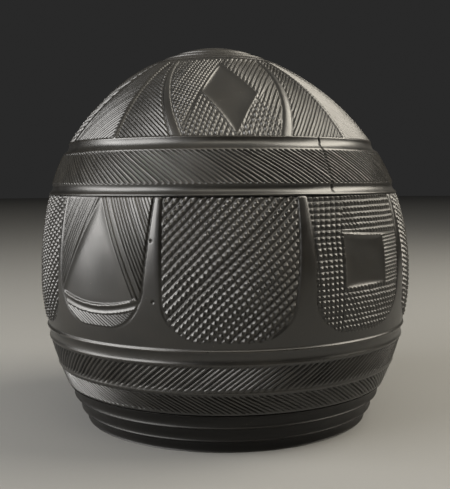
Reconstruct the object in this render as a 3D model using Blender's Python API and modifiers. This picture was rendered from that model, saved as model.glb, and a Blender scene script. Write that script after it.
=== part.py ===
"""Carved egg-shaped box: a turned, hollow egg on a flat foot, with a lift-off lid.

Metres, +Z up. The origin is the middle of the flat base. The egg comes apart into a bowl, a
ringed foot with a closing disc, a collar glued inside the bowl's rim, a lid and a stepped crown
button pegged into the lid. Sizes below are in millimetres times MM.
"""
import math

import bpy

MM = 0.001

# Overall form of the egg's outer skin
HEIGHT = 99.3 * MM
BELLY_RADIUS = 50.0 * MM
BELLY_HEIGHT = 37.5 * MM
BASE_RADIUS = 38.4 * MM
LOWER_CURVE = 1.8          # how late the skin turns in below the belly
UPPER_CURVE = 2.3          # how late it turns in above the belly
UPPER_FULLNESS = 0.6       # how blunt the top is
LEAN_START = 42.0 * MM     # the natural form leans towards -X above this height
LEAN_AT_TOP = 3.1 * MM
LEAN_CURVE = 1.6

# Walls and fits
WALL = 4.5 * MM
GAP = 0.3 * MM             # between pieces that touch
SEAM_HEIGHT = 60.0 * MM    # rim of the bowl
SEGMENTS = 60              # around every turned piece

# Foot and closing disc
FOOT_HEIGHT = 10.1 * MM
DISC_RADIUS = 34.7 * MM
DISC_THICKNESS = 5.0 * MM
DISC_LEDGE = 2.2 * MM      # the disc's seat under the foot's tongue
TONGUE_HEIGHT = 3.9 * MM
TONGUE_RADIUS = 35.7 * MM

# Collar inside the rim
COLLAR_RADIUS = 41.5 * MM
COLLAR_WALL = 2.3 * MM
COLLAR_DEPTH = 10.0 * MM   # below the rim
COLLAR_RISE = 5.5 * MM     # above the rim
COLLAR_CHAMFER = 0.6 * MM
COLLAR_LEDGE = 1.5 * MM
NECK_HEIGHT = 7.0 * MM     # sloping stretch inside the bowl, up to the collar's ledge

# Crown button
CROWN_RADIUS = 17.0 * MM
CROWN_STEPS = 3
CROWN_STEP_WIDTH = 3.3 * MM
CROWN_STEP_RISE = 0.4 * MM
CROWN_DOME_POINTS = 3      # profile points across the plain top of the button
CROWN_SINK = 1.0 * MM      # depth of its seat in the lid
PEG_RADIUS = 6.0 * MM

# Turned mouldings: heights on the bowl, and heights above the seam on the lid
FOOT_RIDGES = (3.2 * MM, 6.8 * MM)
FOOT_COVE = 0.8 * MM
HERRINGBONE_BEAD = 16.0 * MM
WAIST_BEAD = 23.0 * MM
WAIST_TOP = 26.1 * MM
BEAD = 0.35 * MM           # how far a bead stands out
BEAD_HALF = 0.5 * MM
LID_LIP = 1.0 * MM
LOWER_COVE_TOP = 3.2 * MM
UPPER_COVE_FOOT = 11.1 * MM
UPPER_COVE_TOP = 13.4 * MM
COVE = 0.8 * MM            # how deep a cove is hollowed

SKIN_STEP = 4.0 * MM       # spacing of profile points along plain skin


def skin_radius(z, inset=0.0, top=HEIGHT):
    """Radius of the egg at a height; the hollow takes an inset and a lower top."""
    if z <= BELLY_HEIGHT:
        drop = ((BELLY_HEIGHT - z) / BELLY_HEIGHT) ** LOWER_CURVE
        return BELLY_RADIUS - inset - (BELLY_RADIUS - BASE_RADIUS) * drop
    rise = min(1.0, (z - BELLY_HEIGHT) / (top - BELLY_HEIGHT))
    return (BELLY_RADIUS - inset) * (1.0 - rise ** UPPER_CURVE) ** UPPER_FULLNESS


def skin_height(radius, inset=0.0, top=HEIGHT):
    """Height above the belly at which the egg has a given radius."""
    share = 1.0 - (radius / (BELLY_RADIUS - inset)) ** (1.0 / UPPER_FULLNESS)
    return BELLY_HEIGHT + (top - BELLY_HEIGHT) * share ** (1.0 / UPPER_CURVE)


def skin_points(low, high, inset=0.0, top=HEIGHT):
    """Profile points (radius, height) up the plain skin, both ends left out."""
    count = max(1, round((high - low) / SKIN_STEP))
    heights = [low + (high - low) * i / count for i in range(1, count)]
    return [(skin_radius(z, inset, top), z) for z in heights]


def on_skin(z, out=0.0):
    """A profile point standing out from the skin by a given amount."""
    return (skin_radius(z) + out, z)


def bead(z):
    """A small rounded bead turned round the skin."""
    return [on_skin(z - BEAD_HALF), on_skin(z, BEAD), on_skin(z + BEAD_HALF)]


def cove(low, high, depth):
    """A hollow turned into the skin between two edges, both edges included."""
    middle = (low + high) / 2.0
    return [on_skin(low), on_skin(middle, -depth), on_skin(high)]


def finish(name, colour, roughness):
    """The piece's own material."""
    material = bpy.data.materials.new(name)
    material.use_nodes = True
    shader = material.node_tree.nodes["Principled BSDF"]
    shader.inputs["Base Color"].default_value = (*colour, 1.0)
    shader.inputs["Roughness"].default_value = roughness
    shader.inputs["Metallic"].default_value = 0.0
    return material


def lean(mesh, base_height):
    """Shift a mesh's points sideways as the natural form leans.

    What fits the collar is turned true, so those points stay. The crown button and its seat
    move as one, so the peg stays straight in its hole.
    """
    span = HEIGHT - LEAN_START
    fit_radius = COLLAR_RADIUS + 2.0 * GAP
    fit_top = SEAM_HEIGHT + COLLAR_RISE + 3.0 * GAP
    for vertex in mesh.vertices:
        height = vertex.co.z + base_height
        radius = math.hypot(vertex.co.x, vertex.co.y)
        if height < fit_top and radius < fit_radius:
            continue
        if radius < CROWN_RADIUS + 2.0 * GAP:
            height = crown_seat()
        above = max(0.0, height - LEAN_START)
        vertex.co.x -= LEAN_AT_TOP * (above / span) ** LEAN_CURVE


def turned(name, outline, closed, origin_height, material):
    """Turn an outline of (radius, height) round the Z axis.

    The outline starts at the top and runs down the outer side. A closed outline makes a ring;
    an open one starts and ends on the axis.
    """
    points = [(radius, 0.0, z - origin_height) for radius, z in outline]
    edges = [(i, i + 1) for i in range(len(points) - 1)]
    if closed:
        edges.append((len(points) - 1, 0))
    profile = bpy.data.meshes.new(name + "_profile")
    profile.from_pydata(points, edges, [])
    blank = bpy.data.objects.new(name + "_blank", profile)
    bpy.context.scene.collection.objects.link(blank)
    screw = blank.modifiers.new("Turn", "SCREW")
    screw.axis = "Z"
    screw.angle = math.tau
    screw.steps = SEGMENTS
    screw.render_steps = SEGMENTS
    screw.use_merge_vertices = True
    screw.merge_threshold = 0.00001
    evaluated = blank.evaluated_get(bpy.context.evaluated_depsgraph_get())
    mesh = bpy.data.meshes.new_from_object(evaluated)
    mesh.name = name
    bpy.data.objects.remove(blank)
    bpy.data.meshes.remove(profile)
    lean(mesh, origin_height)
    mesh.materials.clear()
    mesh.materials.append(material)
    mesh.shade_smooth()
    mesh.set_sharp_from_angle(angle=math.radians(30.0))
    piece = bpy.data.objects.new(name, mesh)
    piece.location.z = origin_height
    return piece


def foot_ring():
    """The plain ringed foot, with a tongue that rises into the bowl."""
    top = FOOT_HEIGHT
    ridges = [0.0, *FOOT_RIDGES, top]
    outer = []
    for low, high in reversed(list(zip(ridges, ridges[1:]))):
        outer += [on_skin(high), on_skin((low + high) / 2.0, -FOOT_COVE)]
    seat = DISC_THICKNESS + GAP
    bore = DISC_RADIUS + GAP
    outline = [(TONGUE_RADIUS, top + TONGUE_HEIGHT), (TONGUE_RADIUS, top), *outer, on_skin(0.0),
               (bore, 0.0), (bore, seat), (bore - DISC_LEDGE, seat),
               (bore - DISC_LEDGE, top + TONGUE_HEIGHT)]
    return turned("foot_ring", outline, True, 0.0, finish("foot_ring", (0.012, 0.011, 0.010), 0.42))


def base_disc():
    """The disc that closes the egg from below, flush with the foot."""
    outline = [(0.0, DISC_THICKNESS), (DISC_RADIUS, DISC_THICKNESS), (DISC_RADIUS, 0.0), (0.0, 0.0)]
    return turned("base_disc", outline, False, 0.0, finish("base_disc", (0.02, 0.017, 0.014), 0.6))


def bowl_shell():
    """The lower two thirds of the egg, open at both ends."""
    bottom = FOOT_HEIGHT + GAP
    socket = TONGUE_RADIUS + GAP
    socket_top = FOOT_HEIGHT + TONGUE_HEIGHT + GAP
    ledge = SEAM_HEIGHT - COLLAR_DEPTH
    rebate = COLLAR_RADIUS + GAP
    waist_cove = cove(WAIST_BEAD + BEAD_HALF, WAIST_TOP, COVE / 2.0)
    lower = [on_skin(bottom)]
    lower += skin_points(bottom, HERRINGBONE_BEAD - BEAD_HALF)
    lower += bead(HERRINGBONE_BEAD)
    lower += skin_points(HERRINGBONE_BEAD + BEAD_HALF, WAIST_BEAD - BEAD_HALF)
    lower += bead(WAIST_BEAD)[:-1]
    lower += waist_cove
    upper = skin_points(WAIST_TOP, SEAM_HEIGHT)
    outer = [*lower, *upper, on_skin(SEAM_HEIGHT)]
    outer.reverse()
    neck_foot = ledge - NECK_HEIGHT
    inner = [(socket, bottom), (socket, socket_top), (skin_radius(socket_top, WALL), socket_top)]
    inner += skin_points(socket_top, neck_foot, WALL)
    inner += [(skin_radius(neck_foot, WALL), neck_foot), (rebate - COLLAR_LEDGE, ledge),
              (rebate, ledge), (rebate, SEAM_HEIGHT)]
    material = finish("bowl_shell", (0.022, 0.019, 0.015), 0.32)
    return turned("bowl_shell", outer + inner, True, 0.0, material)


def rim_collar():
    """The ring glued inside the bowl's rim, over which the lid drops."""
    low = SEAM_HEIGHT - COLLAR_DEPTH + GAP
    high = SEAM_HEIGHT + COLLAR_RISE
    inner = COLLAR_RADIUS - COLLAR_WALL
    outline = [(COLLAR_RADIUS - COLLAR_CHAMFER, high), (COLLAR_RADIUS, high - COLLAR_CHAMFER),
               (COLLAR_RADIUS, low), (inner, low), (inner, high)]
    return turned("rim_collar", outline, True, 0.0, finish("rim_collar", (0.035, 0.027, 0.020), 0.5))


def crown_seat():
    """Height of the floor of the crown button's seat, which is tied to the skin."""
    return skin_height(CROWN_RADIUS + GAP) - CROWN_SINK


def lid_shell():
    """The domed lid, bored to drop over the collar and seated for the crown button."""
    foot = SEAM_HEIGHT + GAP
    bore = COLLAR_RADIUS + GAP
    bore_top = SEAM_HEIGHT + COLLAR_RISE + 2.0 * GAP
    seat = crown_seat()
    seat_radius = CROWN_RADIUS + GAP
    hole = PEG_RADIUS + GAP
    roof = seat - WALL
    roof_radius = skin_radius(roof - WALL / 2.0, WALL, roof)
    outer = [on_skin(foot)]
    outer += cove(SEAM_HEIGHT + LID_LIP, SEAM_HEIGHT + LOWER_COVE_TOP, COVE)
    outer += skin_points(SEAM_HEIGHT + LOWER_COVE_TOP, SEAM_HEIGHT + UPPER_COVE_FOOT)
    outer += cove(SEAM_HEIGHT + UPPER_COVE_FOOT, SEAM_HEIGHT + UPPER_COVE_TOP, COVE)
    outer += skin_points(SEAM_HEIGHT + UPPER_COVE_TOP, seat + CROWN_SINK)
    outer += [(seat_radius, seat + CROWN_SINK), (seat_radius, seat), (hole, seat)]
    outer.reverse()
    inner = [(bore, foot), (bore, bore_top), (skin_radius(bore_top, WALL, roof), bore_top)]
    inner += skin_points(bore_top, roof - WALL / 2.0, WALL, roof)
    inner += [(roof_radius, roof - WALL / 2.0), (hole, roof)]
    material = finish("lid_shell", (0.024, 0.020, 0.016), 0.32)
    return turned("lid_shell", outer + inner, True, SEAM_HEIGHT, material)


def crown_button():
    """The stepped button on top of the lid, with its peg down through the lid."""
    bottom = crown_seat() + GAP
    peg_end = crown_seat() - WALL
    plain = CROWN_RADIUS - (CROWN_STEPS - 1) * CROWN_STEP_WIDTH
    outline = [(0.0, HEIGHT)]
    for i in range(1, CROWN_DOME_POINTS):
        radius = plain * i / CROWN_DOME_POINTS
        outline.append((radius, skin_height(radius)))
    for step in range(CROWN_STEPS):
        radius = plain + step * CROWN_STEP_WIDTH
        edge = skin_height(radius)
        outline += [(radius, edge), (radius, edge - CROWN_STEP_RISE)]
    outline += [(CROWN_RADIUS, bottom), (PEG_RADIUS, bottom), (PEG_RADIUS, peg_end), (0.0, peg_end)]
    material = finish("crown_button", (0.020, 0.018, 0.015), 0.36)
    return turned("crown_button", outline, False, SEAM_HEIGHT, material)


def main():
    """Clear the scene and build the box, piece by piece."""
    for item in list(bpy.data.objects):
        bpy.data.objects.remove(item)
    box = bpy.data.collections.new("carved_egg_box")
    bpy.context.scene.collection.children.link(box)
    pieces = [foot_ring(), base_disc(), bowl_shell(), rim_collar(), lid_shell(), crown_button()]
    for piece in pieces:
        box.objects.link(piece)
    lid, crown = pieces[-2], pieces[-1]
    crown.parent = lid
    crown.location.z = 0.0


main()
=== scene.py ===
"""Carved egg-shaped box in satin black wood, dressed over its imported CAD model.

Every piece of the CAD model is replaced by a finely turned or carved mesh of the same size and
place. Sizes are in millimetres, azimuths in degrees, 0 facing -Y and growing towards +X.
"""
import logging
import math
from dataclasses import dataclass, field
from enum import Enum
from typing import Any, Optional, Sequence, Union

import bpy
import numpy as np
from mathutils import Matrix, Vector


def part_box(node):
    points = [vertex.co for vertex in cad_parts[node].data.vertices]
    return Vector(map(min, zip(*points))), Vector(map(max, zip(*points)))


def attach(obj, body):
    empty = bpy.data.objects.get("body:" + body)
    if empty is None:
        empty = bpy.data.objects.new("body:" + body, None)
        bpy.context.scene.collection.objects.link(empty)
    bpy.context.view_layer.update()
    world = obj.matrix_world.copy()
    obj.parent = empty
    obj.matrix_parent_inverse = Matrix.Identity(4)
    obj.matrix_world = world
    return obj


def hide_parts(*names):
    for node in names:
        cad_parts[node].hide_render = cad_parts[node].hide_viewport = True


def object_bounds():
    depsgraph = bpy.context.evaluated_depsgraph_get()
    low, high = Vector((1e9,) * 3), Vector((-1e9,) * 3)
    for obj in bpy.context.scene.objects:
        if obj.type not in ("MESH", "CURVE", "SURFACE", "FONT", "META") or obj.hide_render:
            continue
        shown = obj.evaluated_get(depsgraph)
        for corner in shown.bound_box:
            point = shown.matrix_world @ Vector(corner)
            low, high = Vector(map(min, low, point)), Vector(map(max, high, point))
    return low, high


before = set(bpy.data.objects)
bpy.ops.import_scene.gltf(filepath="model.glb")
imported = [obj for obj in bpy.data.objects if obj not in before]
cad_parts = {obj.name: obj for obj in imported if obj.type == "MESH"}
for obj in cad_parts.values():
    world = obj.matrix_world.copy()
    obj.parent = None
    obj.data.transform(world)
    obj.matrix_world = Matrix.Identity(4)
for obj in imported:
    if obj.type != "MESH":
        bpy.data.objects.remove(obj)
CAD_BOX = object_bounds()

LOG = logging.getLogger("egg_box")
MM = 0.001
Array = np.ndarray
Number = Union[float, int, "Wire"]


class Body(Enum):
    """The moving bodies of the box."""

    BOWL = "bowl"
    LID = "lid"


class Motif(Enum):
    """What a carved panel of the bowl shows."""

    KNURL = "knurl"
    TRIANGLE = "triangle"
    SQUARE = "square"


class Hand(Enum):
    """Which way the strokes of a hatched band climb."""

    RISING = -1.0
    FALLING = 1.0


# ---------------------------------------------------------------- shader workbench


class Wire:
    """A shader socket on which Python arithmetic adds Math nodes."""

    def __init__(self, bench: "Bench", socket: bpy.types.NodeSocket) -> None:
        """Wrap a socket.

        Args:
            bench: The bench whose tree holds the socket.
            socket: The output socket.
        """
        self.bench = bench
        self.socket = socket

    def _math(self, operation: str, first: Number, second: Number = 0.0) -> "Wire":
        """Add one Math node.

        Args:
            operation: Blender's name of the operation.
            first: The first operand.
            second: The second operand.

        Returns:
            The node's result.
        """
        return self.bench.add("ShaderNodeMath", {"operation": operation}, {0: first, 1: second})

    def __add__(self, other: Number) -> "Wire":
        """Add."""
        return self._math("ADD", self, other)

    __radd__ = __add__

    def __mul__(self, other: Number) -> "Wire":
        """Multiply."""
        return self._math("MULTIPLY", self, other)

    __rmul__ = __mul__

    def __sub__(self, other: Number) -> "Wire":
        """Take another value from this one."""
        return self._math("SUBTRACT", self, other)

    def __rsub__(self, other: Number) -> "Wire":
        """Take this value from another one."""
        return self._math("SUBTRACT", other, self)

    def ramp(self, low: float, high: float) -> "Wire":
        """Map low..high to 0..1, smoothly and held at both ends.

        Args:
            low: The value that becomes 0.
            high: The value that becomes 1.

        Returns:
            The mapped value.
        """
        settings = {"interpolation_type": "SMOOTHSTEP", "clamp": True}
        return self.bench.add("ShaderNodeMapRange", settings, {0: self, 1: low, 2: high})


class Bench:
    """A material's node tree and the one method that adds nodes to it."""

    def __init__(self, name: str) -> None:
        """Start a material.

        Args:
            name: The material's name.
        """
        self.material = bpy.data.materials.new(name)
        self.material.use_nodes = True
        self.tree = self.material.node_tree
        self.tree.nodes.clear()

    def add(self, kind: str, settings: Optional[dict[str, Any]] = None,
            sockets: Optional[dict[Any, Any]] = None, out: Union[int, str] = 0) -> Wire:
        """Add a node, set it up, then fill or link its sockets.

        Args:
            kind: The node's type.
            settings: Its properties, which are set before its sockets.
            sockets: Values or wires by socket name or number.
            out: Which output to return.

        Returns:
            The chosen output as a wire.
        """
        node = self.tree.nodes.new(kind)
        for key, value in (settings or {}).items():
            setattr(node, key, value)
        for key, value in (sockets or {}).items():
            if isinstance(value, Wire):
                self.tree.links.new(value.socket, node.inputs[key])
            else:
                node.inputs[key].default_value = value
        outputs = node.outputs
        return Wire(self, outputs[out]) if len(outputs) else Wire(self, node.inputs[0])

    def mix(self, share: Number, first: Any, second: Any) -> Wire:
        """Blend two colours.

        Args:
            share: How much of the second colour shows.
            first: The first colour.
            second: The second colour.

        Returns:
            The blended colour.
        """
        pair = [(*c, 1.0) if isinstance(c, tuple) else c for c in (first, second)]
        return self.add("ShaderNodeMix", {"data_type": "RGBA"},
                        {0: share, 6: pair[0], 7: pair[1]}, out=2)

    def place(self, stretch: tuple[float, float, float]) -> Wire:
        """The object's own coordinates, stretched per axis.

        Args:
            stretch: Scale along each axis.

        Returns:
            The stretched coordinates.
        """
        where = self.add("ShaderNodeTexCoord", out="Object")
        return self.add("ShaderNodeVectorMath", {"operation": "MULTIPLY"}, {0: where, 1: stretch})

    def noise(self, where: Wire, scale: float, detail: float = 3.0, rough: float = 0.55) -> Wire:
        """Fractal noise of 0..1.

        Args:
            where: The coordinates.
            scale: Features per metre.
            detail: Octaves.
            rough: How strong the finer octaves are.

        Returns:
            The noise value.
        """
        return self.add("ShaderNodeTexNoise", {"noise_dimensions": "3D"},
                        {"Vector": where, "Scale": scale, "Detail": detail, "Roughness": rough})

    def layer(self, name: str) -> Wire:
        """A value carved into the mesh as a named attribute."""
        return self.add("ShaderNodeAttribute", {"attribute_name": name}, out="Fac")

    def finish(self, shader: dict[str, Any], surface: dict[str, Any]) -> bpy.types.Material:
        """Close the material with one Principled shader.

        Args:
            shader: Uniform values of its sockets.
            surface: What varies, as wires.

        Returns:
            The finished material.
        """
        face = self.add("ShaderNodeBsdfPrincipled", None, {**shader, **surface})
        self.add("ShaderNodeOutputMaterial", None, {"Surface": face})
        return self.material


@dataclass(frozen=True)
class SatinWood:
    """Black-stained, close-grained wood, waxed and rubbed to a satin."""

    stain: tuple[float, float, float] = (0.0040, 0.0036, 0.0030)
    warm: tuple[float, float, float] = (0.013, 0.0108, 0.0075)
    # The lighter colour of the relief's tips: rubbed wear, and painted sheen on the carved ridges.
    worn_and_sheen: tuple[float, float, float] = (0.036, 0.030, 0.021)
    dust: tuple[float, float, float] = (0.022, 0.020, 0.016)
    lint: tuple[float, float, float] = (0.10, 0.09, 0.07)
    roughness: float = 0.29
    wear_and_sheen: float = 0.5
    dusting: float = 0.35
    ior: float = 1.75
    fibre: float = 0.012
    cloud_scale: float = 55.0
    rub_scale: float = 240.0
    fibre_scale: float = 1500.0
    speck_scale: float = 1700.0

    def material(self, name: str) -> bpy.types.Material:
        """Build the finish.

        Args:
            name: The material's name.

        Returns:
            The material.
        """
        bench = Bench(name)
        plain = bench.place((1.0, 1.0, 1.0))
        upright = bench.place((1.0, 1.0, 0.16))
        cloud = bench.noise(plain, self.cloud_scale, 3.0)
        fibre = bench.noise(upright, self.fibre_scale, 4.0, 0.6)
        speck = bench.noise(plain, self.speck_scale, 1.0)
        rub = bench.noise(plain, self.rub_scale, 4.0, 0.65)
        proud = bench.layer("proud")
        tips = proud.ramp(0.15, 1.0)
        pits = (proud * -1.0).ramp(0.2, 1.0)
        tone = bench.mix(cloud.ramp(0.35, 0.7) * 0.55 + fibre.ramp(0.45, 0.7) * 0.35,
                         self.stain, self.warm)
        # Relief tips lightened: rubbed wear through the stain, and painted sheen on the carved ridges.
        tone = bench.mix(tips * rub.ramp(0.3, 0.75) * self.wear_and_sheen, tone, self.worn_and_sheen)
        tone = bench.mix(pits * rub.ramp(0.35, 0.65) * self.dusting, tone, self.dust)
        tone = bench.mix(speck.ramp(0.77, 0.80) * 0.6, tone, self.lint)
        rough = (self.roughness + pits * 0.16 - tips * 0.05 + cloud.ramp(0.3, 0.75) * 0.07
                 + rub.ramp(0.35, 0.75) * 0.06)
        height = fibre * 0.5 + rub * 0.4 + speck * 0.1
        normal = bench.add("ShaderNodeBump", None,
                           {"Strength": 1.0, "Distance": self.fibre * MM, "Height": height})
        return bench.finish({"IOR": self.ior},
                            {"Base Color": tone, "Roughness": rough, "Normal": normal})


@dataclass(frozen=True)
class TurnedWood:
    """Wood left from the lathe: fine rings of the gouge and an open grain."""

    dark: tuple[float, float, float] = (0.018, 0.014, 0.010)
    light: tuple[float, float, float] = (0.060, 0.044, 0.030)
    roughness: float = 0.5
    rings: float = 900.0
    groove: float = 0.02
    fibre_scale: float = 1100.0
    cloud_scale: float = 70.0

    def material(self, name: str) -> bpy.types.Material:
        """Build the finish.

        Args:
            name: The material's name.

        Returns:
            The material.
        """
        bench = Bench(name)
        plain = bench.place((1.0, 1.0, 1.0))
        along = bench.place((1.0, 1.0, 0.12))
        fibre = bench.noise(along, self.fibre_scale, 4.0, 0.6)
        cloud = bench.noise(plain, self.cloud_scale, 3.0)
        tool = bench.noise(bench.place((0.02, 0.02, 1.0)), self.rings, 1.0)
        proud = bench.layer("proud")
        tone = bench.mix(fibre.ramp(0.35, 0.7) * 0.7 + cloud.ramp(0.35, 0.7) * 0.3,
                         self.dark, self.light)
        tone = bench.mix(proud.ramp(0.1, 1.0) * 0.4, tone, self.light)
        rough = self.roughness + fibre * 0.12 + cloud * 0.08
        height = tool * 0.6 + fibre * 0.4
        normal = bench.add("ShaderNodeBump", None,
                           {"Strength": 1.0, "Distance": self.groove * MM, "Height": height})
        return bench.finish({"IOR": 1.5},
                            {"Base Color": tone, "Roughness": rough, "Normal": normal})


@dataclass(frozen=True)
class StudioPaper:
    """Plain pale backdrop paper."""

    pale: tuple[float, float, float] = (0.24, 0.24, 0.236)
    tooth_scale: float = 900.0

    def material(self, name: str) -> bpy.types.Material:
        """Build the finish.

        Args:
            name: The material's name.

        Returns:
            The material.
        """
        bench = Bench(name)
        tooth = bench.noise(bench.place((1.0, 1.0, 1.0)), self.tooth_scale, 4.0)
        tone = bench.mix(tooth * 0.2, self.pale, tuple(c * 0.93 for c in self.pale))
        return bench.finish({"IOR": 1.4}, {"Base Color": tone, "Roughness": 0.85 + tooth * 0.1})


# ---------------------------------------------------------------- form of the egg


@dataclass(frozen=True)
class EggForm:
    """The egg's outer skin, which leans slightly towards -X near the top."""

    height: float = 99.3
    belly_radius: float = 50.0
    belly_height: float = 37.5
    base_radius: float = 38.4
    lower_curve: float = 1.8
    upper_curve: float = 2.3
    upper_fullness: float = 0.6
    lean_start: float = 42.0
    lean_at_top: float = 3.1
    lean_curve: float = 1.6
    true_radius: float = 42.1
    true_height: float = 66.4
    crown_radius: float = 17.3
    crown_sink: float = 1.0

    def radius(self, z: Array, inset: float = 0.0, top: Optional[float] = None) -> Array:
        """Radius of the skin, or of the hollow inside it.

        Args:
            z: Heights.
            inset: How far inside the skin.
            top: Height at which the form closes, the egg's own when left out.

        Returns:
            The radius at each height.
        """
        z = np.asarray(z, float)
        top = self.height if top is None else top
        drop = np.clip((self.belly_height - z) / self.belly_height, 0.0, 1.0) ** self.lower_curve
        low = self.belly_radius - inset - (self.belly_radius - self.base_radius) * drop
        rise = np.clip((z - self.belly_height) / (top - self.belly_height), 0.0, 1.0)
        high = (self.belly_radius - inset) * (1.0 - rise ** self.upper_curve) ** self.upper_fullness
        return np.where(z <= self.belly_height, low, high)

    def height_at(self, radius: float) -> float:
        """Height above the belly at which the skin has a given radius.

        Args:
            radius: The radius.

        Returns:
            The height.
        """
        share = 1.0 - (radius / self.belly_radius) ** (1.0 / self.upper_fullness)
        span = self.height - self.belly_height
        return self.belly_height + span * share ** (1.0 / self.upper_curve)

    @property
    def seat(self) -> float:
        """Height of the floor of the crown button's seat."""
        return self.height_at(self.crown_radius) - self.crown_sink

    def slope(self, z: Array) -> Array:
        """How fast the radius shrinks with height.

        Args:
            z: Heights.

        Returns:
            The slope at each height.
        """
        step = 0.02
        return (self.radius(z + step) - self.radius(z - step)) / (2.0 * step)

    def lean(self, radius: Array, z: Array) -> Array:
        """Sideways shift of a point; fits turned true don't lean, and the crown stays rigid.

        Args:
            radius: Distances from the axis.
            z: Heights.

        Returns:
            The shift towards -X.
        """
        crown = radius < self.crown_radius + 0.3
        level = np.where(crown, self.seat, np.minimum(z, self.seat))
        above = np.clip(level - self.lean_start, 0.0, None) / (self.height - self.lean_start)
        true = (radius < self.true_radius) & (z < self.true_height)
        return np.where(true, 0.0, self.lean_at_top * above ** self.lean_curve)


# ---------------------------------------------------------------- carving tools


def ease(x: Array, low: float, high: float) -> Array:
    """Smooth step from 0 at low to 1 at high.

    Args:
        x: Values.
        low: Where the step starts.
        high: Where it ends.

    Returns:
        The stepped values.
    """
    t = np.clip((x - low) / (high - low), 0.0, 1.0)
    return t * t * (3.0 - 2.0 * t)


def scatter(k: Array, seed: float = 0.0) -> Array:
    """A fixed number of -1..1 for each whole number, for hand-cut unevenness.

    Args:
        k: Whole numbers.
        seed: Picks another set.

    Returns:
        The numbers.
    """
    wave = np.sin(k * 12.9898 + seed * 78.233) * 43758.5453
    return 2.0 * (wave - np.floor(wave)) - 1.0


def vee(distance: Array, half: float, depth: float) -> Array:
    """Depth of one vee cut at a distance from its line.

    Args:
        distance: Distance from the line.
        half: Half the cut's width.
        depth: Its depth.

    Returns:
        The depth at each point.
    """
    return depth * np.clip(1.0 - np.abs(distance) / half, 0.0, 1.0)


def hollow(z: Array, low: float, high: float, depth: float, power: float = 0.75) -> Array:
    """Depth of a round cove between two heights.

    Args:
        z: Heights.
        low: Its lower edge.
        high: Its upper edge.
        depth: Its depth.
        power: Above 1, its edges run out smoothly; below 1, they are crisp.

    Returns:
        The depth at each point.
    """
    t = np.clip((2.0 * z - low - high) / (high - low), -1.0, 1.0)
    return depth * (1.0 - t * t) ** power


@dataclass(frozen=True)
class Gouge:
    """A vee gouge drawn along evenly spaced straight lines."""

    pitch: float
    depth: float
    angle: float
    width: float = 0.92
    bend: float = 0.0
    offset: float = 0.0
    uneven: float = 0.13
    wander: float = 0.35
    soft: bool = False

    def cut(self, s: Array, z: Array) -> Array:
        """Depth cut at each point of a flat chart.

        Args:
            s: Distance across.
            z: Distance up.

        Returns:
            The depth.
        """
        turn = math.radians(self.angle)
        across = z * math.cos(turn) - s * math.sin(turn) + self.bend * s * s
        drift = 0.05 * np.sin(0.9 * s + 0.31 * z) + 0.04 * np.sin(0.37 * s - 1.3 * z + 1.0)
        phase = across / self.pitch + drift * self.wander + self.offset
        line = np.floor(phase)
        middle = 0.5 + 0.05 * scatter(line, self.angle)
        deep = self.depth * (1.0 + self.uneven * scatter(line, self.pitch))
        groove = np.clip(1.0 - 2.0 * np.abs(phase - line - middle) / self.width, 0.0, 1.0)
        return deep * (ease(groove, 0.0, 1.0) if self.soft else groove)


@dataclass(frozen=True)
class HatchBand:
    """A ring of slanting strokes between two heights."""

    low: float
    high: float
    strokes: int
    sweep: float
    hand: Hand
    depth: float = 0.42
    curl: float = 1.0
    fade_low: float = 0.3
    fade_high: float = 0.3
    width: float = 0.82

    def slant(self, z: Array) -> Array:
        """How far round a stroke has come at each height, in degrees."""
        t = np.clip((z - self.low) / (self.high - self.low), 0.0, 1.0)
        return self.hand.value * self.sweep * t ** self.curl

    def cut(self, az: Array, z: Array) -> Array:
        """Depth cut at each point.

        Args:
            az: Azimuths.
            z: Heights.

        Returns:
            The depth.
        """
        wander = 0.12 * np.sin(np.radians(az) * 9.0 + 1.0)
        phase = (az + self.slant(z)) * self.strokes / 360.0 + wander
        line = np.floor(phase)
        deep = self.depth * (1.0 + 0.22 * scatter(line % self.strokes, 3.0))
        middle = 0.5 + 0.07 * scatter(line % self.strokes, 5.0)
        groove = np.clip(1.0 - 2.0 * np.abs(phase - line - middle) / self.width, 0.0, 1.0)
        ends = ease(z, self.low, self.low + self.fade_low)
        ends = ends * (1.0 - ease(z, self.high - self.fade_high, self.high))
        return deep * ease(groove, 0.0, 1.0) * ends


def scoop(sides: Sequence[Array], depth: float, reach: float) -> Array:
    """Depth of a smooth hollow bounded by several sides.

    Args:
        sides: Distance inside each side; a smaller distance makes a gentler slope.
        depth: Depth far from every side.
        reach: How soon the hollow gets deep.

    Returns:
        The depth.
    """
    total = sum(1.0 / np.clip(side, 0.02, None) for side in sides)
    return depth * (1.0 - np.exp(-1.0 / total / reach))


def side_distances(s: Array, z: Array, corners: Sequence[tuple[float, float]]) -> list[Array]:
    """Distance inside each side of a convex outline.

    Args:
        s: Distance across.
        z: Distance up.
        corners: Its corners, anticlockwise.

    Returns:
        One distance for each side, from the first corner on.
    """
    sides = []
    for (x0, z0), (x1, z1) in zip(corners, [*corners[1:], corners[0]]):
        long = math.hypot(x1 - x0, z1 - z0)
        sides.append(((x1 - x0) * (z - z0) - (z1 - z0) * (s - x0)) / long)
    return sides


def polygon_depth(s: Array, z: Array, corners: Sequence[tuple[float, float]]) -> Array:
    """Signed distance to a convex outline, positive inside.

    Args:
        s: Distance across.
        z: Distance up.
        corners: Its corners, in order round the outline, anticlockwise.

    Returns:
        The signed distance.
    """
    best = None
    for side in side_distances(s, z, corners):
        best = side if best is None else np.minimum(best, side)
    return best


# ---------------------------------------------------------------- carved reliefs


@dataclass(frozen=True)
class PanelSpan:
    """One panel round the bowl; its sides may flare towards the rim."""

    motif: Motif
    left: float
    right: float
    foot: float
    flare_left: float = 0.3
    flare_right: float = 1.2

    @property
    def middle(self) -> float:
        """Azimuth of the panel's middle."""
        return (self.left + self.right) / 2.0

    @property
    def half(self) -> float:
        """Half the panel's width, in degrees."""
        return (self.right - self.left) / 2.0


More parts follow.
